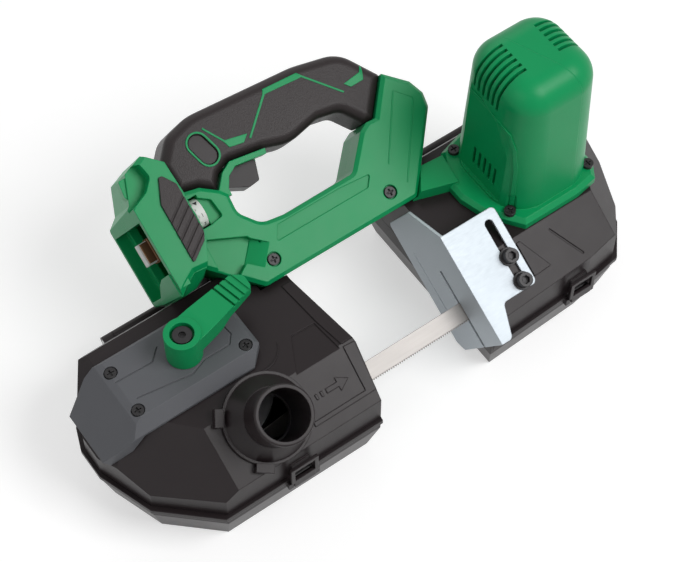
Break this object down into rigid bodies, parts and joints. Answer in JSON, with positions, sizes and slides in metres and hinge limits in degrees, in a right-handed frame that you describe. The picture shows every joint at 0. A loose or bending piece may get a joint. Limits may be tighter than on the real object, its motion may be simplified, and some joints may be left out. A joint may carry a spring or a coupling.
{
  "type": "portable band saw",
  "caption": "Cordless portable band saw lying on its side: two wheel housings, tilted cutting run, D handle, upright motor, folding stop plate and dust spout.",
  "frame": {"origin": "on the drive wheel's axis, in the plane of the wheel covers' flat bottoms on which the saw lies", "axes": "+X from the idler wheel to the drive wheel, +Z along the wheel axes, up towards the motor"},
  "size_m": [0.411, 0.2381, 0.21],
  "materials": {
    "green_shell": "fine moulded grain",
    "black_plastic": "satin moulded",
    "grip_rubber": "textured soft grip",
    "tyre_rubber": "smooth",
    "grey_plate": "satin grey",
    "zinc_steel": "zinc plated",
    "blade_steel": "rolled strip",
    "bright_steel": "turned",
    "black_steel": "blackened",
    "cast_aluminium": "die cast",
    "core_steel": "laminated core",
    "pale_plastic": "moulded",
    "dark_electrics": "moulded",
    "contact_brass": "plated strip"
  },
  "bodies": {
    "frame": {"back_channel": "black_plastic", "battery_contacts": "contact_brass", "blade": "blade_steel", "body_screws": "black_steel", "controller_board": "dark_electrics", "front_housing": "black_plastic", "gear_case": "cast_aluminium", "gear_plate": "cast_aluminium", "grip_left": "grip_rubber", "grip_right": "grip_rubber", "guide_brackets": "bright_steel", "guide_pins": "bright_steel", "handle_shell_left": "green_shell", "handle_shell_right": "green_shell", "hinge_pins": "bright_steel", "motor_cover_front": "green_shell", "motor_cover_rear": "green_shell", "motor_end_plate": "cast_aluminium", "planetary_unit": "bright_steel", "rear_housing": "black_plastic", "shaft_bearings": "bright_steel", "side_pads": "grip_rubber", "slider_guide": "bright_steel", "stator": "core_steel", "stop_bolts": "black_steel", "switch_module": "dark_electrics", "tension_plate": "grey_plate", "tension_spring": "bright_steel", "terminal_block": "dark_electrics"},
    "drive": {"drive_wheel": "cast_aluminium", "drive_tyre": "tyre_rubber", "drive_shaft": "bright_steel", "drive_gear": "bright_steel", "drive_nut": "bright_steel"},
    "pinion": {"output_pinion": "bright_steel"},
    "rotor": {"rotor": "bright_steel", "fan": "black_plastic"},
    "slider": {"tension_slider": "bright_steel", "idler_axle": "bright_steel"},
    "idler": {"idler_wheel": "cast_aluminium", "idler_tyre": "tyre_rubber", "idler_bearing": "bright_steel"},
    "lever": {"tension_lever": "green_shell", "cam_shaft": "bright_steel", "lever_screw": "black_steel"},
    "front_roller_upper": {"front_roller_upper": "bright_steel"},
    "front_roller_lower": {"front_roller_lower": "bright_steel"},
    "rear_roller_upper": {"rear_roller_upper": "bright_steel"},
    "rear_roller_lower": {"rear_roller_lower": "bright_steel"},
    "trigger": {"trigger": "black_plastic"},
    "lock_button": {"lock_button": "black_plastic"},
    "speed_dial": {"speed_dial": "pale_plastic"},
    "stop_plate": {"stop_plate": "zinc_steel"},
    "front_cover": {"front_cover": "black_plastic"},
    "rear_cover": {"rear_cover": "black_plastic"},
    "front_clip": {"front_clip": "black_plastic"},
    "rear_clip": {"rear_clip": "black_plastic"},
    "dust_port": {"dust_port": "black_plastic"}
  },
  "joints": [
    {"name": "wheel_spin", "type": "hinge", "parent": "frame", "child": "drive", "pos_m": [0, 0, 0.05], "axis": [0, 0, 1], "continuous": true},
    {"name": "pinion_spin", "type": "hinge", "parent": "frame", "child": "pinion", "pos_m": [0.021, 0, 0.072], "axis": [0, 0, 1], "continuous": true},
    {"name": "rotor_spin", "type": "hinge", "parent": "frame", "child": "rotor", "pos_m": [0.021, 0, 0.14], "axis": [0, 0, 1], "continuous": true},
    {"name": "idler_slide", "type": "slide", "parent": "frame", "child": "slider", "axis": [1, 0, 0], "range_m": [0, 0.006], "deforming": ["tension_spring"]},
    {"name": "idler_spin", "type": "hinge", "parent": "slider", "child": "idler", "pos_m": [-0.25, 0, 0.05], "axis": [0, 0, 1], "continuous": true},
    {"name": "lever_turn", "type": "hinge", "parent": "frame", "child": "lever", "pos_m": [-0.25, 0.003, 0.11], "axis": [0, 0, -1], "range_deg": [0, 60]},
    {"name": "trigger_pull", "type": "slide", "parent": "frame", "child": "trigger", "axis": [0, 0.866, 0.5], "range_m": [0, 0.006], "stiffness_N_per_m": 600, "springref_m": -0.004},
    {"name": "lock_push", "type": "slide", "parent": "frame", "child": "lock_button", "axis": [0, -0.5, 0.866], "range_m": [-0.003, 0.003], "stiffness_N_per_m": 500},
    {"name": "dial_turn", "type": "hinge", "parent": "frame", "child": "speed_dial", "pos_m": [-0.19, 0.07618, 0.11817], "axis": [1, 0, 0], "range_deg": [-120, 120]},
    {"name": "stop_slide", "type": "slide", "parent": "frame", "child": "stop_plate", "axis": [0, -0.866, -0.5], "range_m": [0, 0.022]},
    {"name": "front_cover_swing", "type": "hinge", "parent": "frame", "child": "front_cover", "pos_m": [-0.243, 0.071, 0.042], "axis": [1, 0, 0], "range_deg": [0, 75]},
    {"name": "rear_cover_swing", "type": "hinge", "parent": "frame", "child": "rear_cover", "pos_m": [0.008, 0.071, 0.042], "axis": [1, 0, 0], "range_deg": [0, 75]},
    {"name": "front_clip_turn", "type": "hinge", "parent": "front_cover", "child": "front_clip", "pos_m": [-0.222, -0.0867, 0.037], "axis": [1, 0, 0], "range_deg": [0, 40]},
    {"name": "rear_clip_turn", "type": "hinge", "parent": "rear_cover", "child": "rear_clip", "pos_m": [0.012, -0.0819, 0.037], "axis": [1, 0, 0], "range_deg": [0, 40]},
    {"name": "port_turn", "type": "hinge", "parent": "frame", "child": "dust_port", "pos_m": [-0.229, -0.06823, 0.0983], "axis": [0, -0.5, 0.866], "range_deg": [0, 30]},
    {"name": "front_roller_upper_spin", "type": "hinge", "parent": "frame", "child": "front_roller_upper", "pos_m": [-0.171, -0.0561, 0.05328], "axis": [0, 0.866, 0.5], "continuous": true},
    {"name": "front_roller_lower_spin", "type": "hinge", "parent": "frame", "child": "front_roller_lower", "pos_m": [-0.171, -0.05115, 0.04472], "axis": [0, 0.866, 0.5], "continuous": true},
    {"name": "rear_roller_upper_spin", "type": "hinge", "parent": "frame", "child": "rear_roller_upper", "pos_m": [-0.05, -0.0561, 0.05328], "axis": [0, 0.866, 0.5], "continuous": true},
    {"name": "rear_roller_lower_spin", "type": "hinge", "parent": "frame", "child": "rear_roller_lower", "pos_m": [-0.05, -0.05115, 0.04472], "axis": [0, 0.866, 0.5], "continuous": true}
  ],
  "couplings": [
    {"joint": "pinion_spin", "follows": "wheel_spin", "ratio": -2.5},
    {"joint": "rotor_spin", "follows": "wheel_spin", "ratio": -15},
    {"joint": "idler_spin", "follows": "wheel_spin", "ratio": 1},
    {"joint": "lever_turn", "follows": "idler_slide", "rad_per_m": 174.53},
    {"joint": "front_roller_upper_spin", "follows": "wheel_spin", "ratio": -11.917},
    {"joint": "front_roller_lower_spin", "follows": "wheel_spin", "ratio": 11.917},
    {"joint": "rear_roller_upper_spin", "follows": "wheel_spin", "ratio": -11.917},
    {"joint": "rear_roller_lower_spin", "follows": "wheel_spin", "ratio": 11.917}
  ]
}
